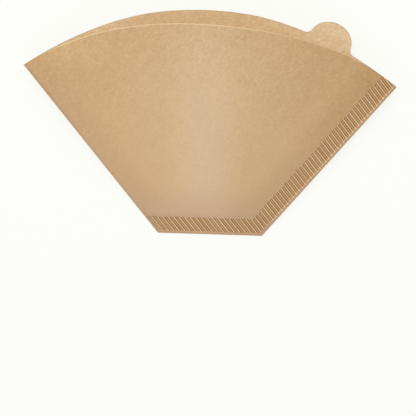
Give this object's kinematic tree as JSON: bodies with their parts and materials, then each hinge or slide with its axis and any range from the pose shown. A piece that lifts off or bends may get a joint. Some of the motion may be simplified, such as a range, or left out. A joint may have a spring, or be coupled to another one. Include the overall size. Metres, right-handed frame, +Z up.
{
  "type": "paper coffee filter",
  "caption": "Cone coffee filter of folded unbleached paper, lying with its mouth a little open, with crimped bottom and side seams and a round ear on the rear ply.",
  "frame": {"origin": "middle of the filter's box, on the surface that it lies on", "axes": "+X from the folded side to the crimped side seam, +Y from the bottom seam to the mouth, +Z up, away from the ply that carries the ear"},
  "size_m": [0.165, 0.1052, 0.0242],
  "materials": {
    "filter_paper": "unbleached, matt"
  },
  "bodies": {
    "root": {"coffee_filter": "filter_paper"}
  },
  "joints": []
}
